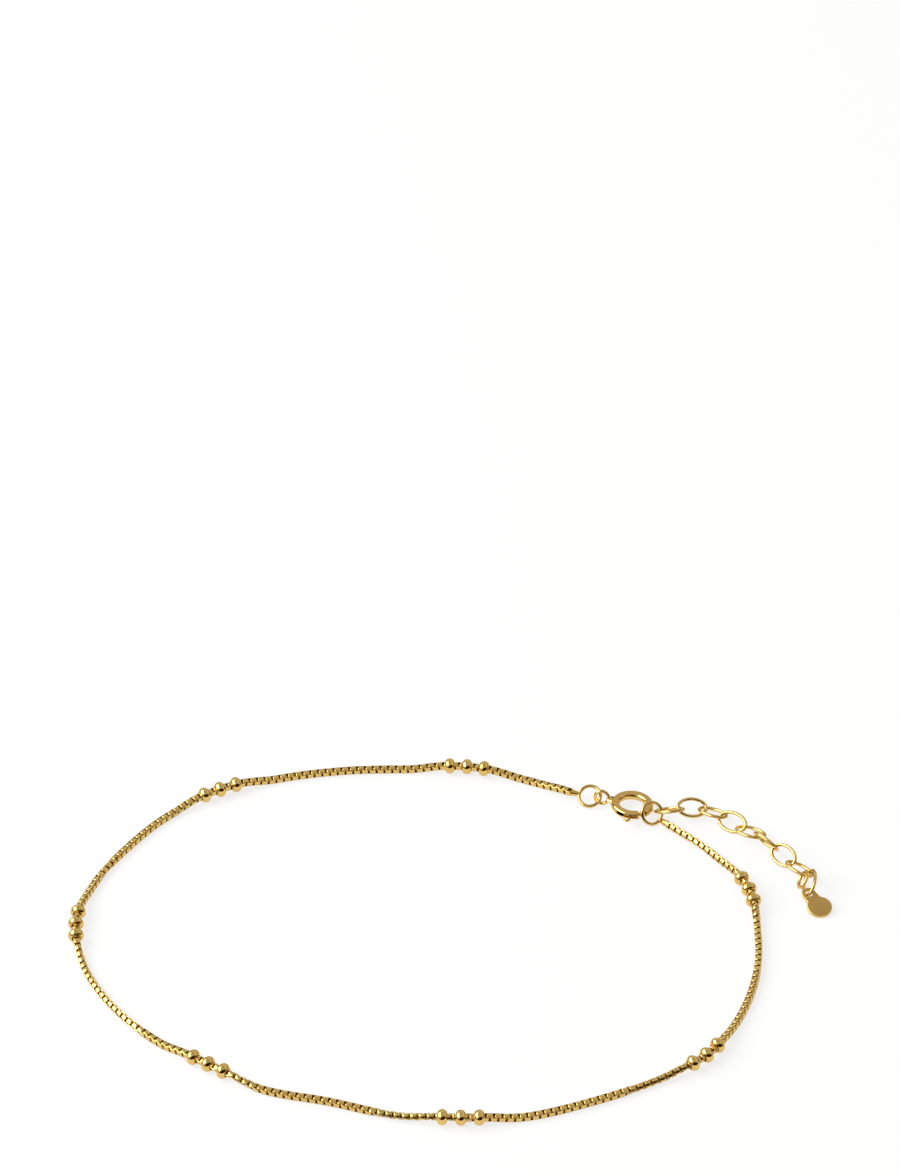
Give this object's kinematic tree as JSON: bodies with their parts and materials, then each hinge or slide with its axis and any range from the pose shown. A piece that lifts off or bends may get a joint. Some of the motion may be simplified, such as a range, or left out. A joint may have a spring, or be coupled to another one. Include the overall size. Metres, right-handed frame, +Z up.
{
  "type": "chain anklet",
  "caption": "Fine gold box chain anklet with groups of small drilled beads, a spring ring clasp, and a short extension of oval links ending in a plain round tag, lying open on a table.",
  "frame": {"origin": "middle of the base that the lying anklet rests on", "axes": "+X along the lying loop's longer side, towards the extension; +Y towards the clasp's side of the loop; +Z up from the table"},
  "size_m": [0.0924, 0.0658, 0.0026],
  "materials": {
    "polished_gold": "polished yellow gold",
    "chain_gold": "bright yellow gold",
    "brushed_gold": "matte yellow gold"
  },
  "bodies": {
    "anklet": {"bead_01": "polished_gold", "bead_02": "polished_gold", "bead_03": "polished_gold", "bead_04": "polished_gold", "bead_05": "polished_gold", "bead_06": "polished_gold", "bead_07": "polished_gold", "bead_08": "polished_gold", "bead_09": "polished_gold", "bead_10": "polished_gold", "bead_11": "polished_gold", "bead_12": "polished_gold", "bead_13": "polished_gold", "bead_14": "polished_gold", "bead_15": "polished_gold", "bead_16": "polished_gold", "bead_17": "polished_gold", "bead_18": "polished_gold", "bead_19": "polished_gold", "bead_20": "polished_gold", "bead_21": "polished_gold", "box_chain": "chain_gold", "clasp_ring": "brushed_gold", "end_ring_left": "polished_gold", "end_ring_right": "polished_gold", "extension_link_1": "polished_gold", "extension_link_2": "polished_gold", "extension_link_3": "polished_gold", "extension_link_4": "polished_gold", "extension_link_5": "polished_gold", "extension_link_6": "polished_gold", "extension_link_7": "polished_gold", "extension_link_8": "polished_gold", "extension_link_9": "polished_gold", "extension_small_ring": "polished_gold", "tag": "brushed_gold"},
    "bolt": {"clasp_bolt": "polished_gold"}
  },
  "joints": [
    {"name": "bolt_slide", "type": "hinge", "parent": "anklet", "child": "bolt", "pos_m": [0.02245, 0.02432, 0.00097], "axis": [-0.0522, -0.0698, -0.9962], "range_deg": [0, 35], "stiffness_Nm_per_rad": 0.000002, "springref_deg": -20.05}
  ]
}
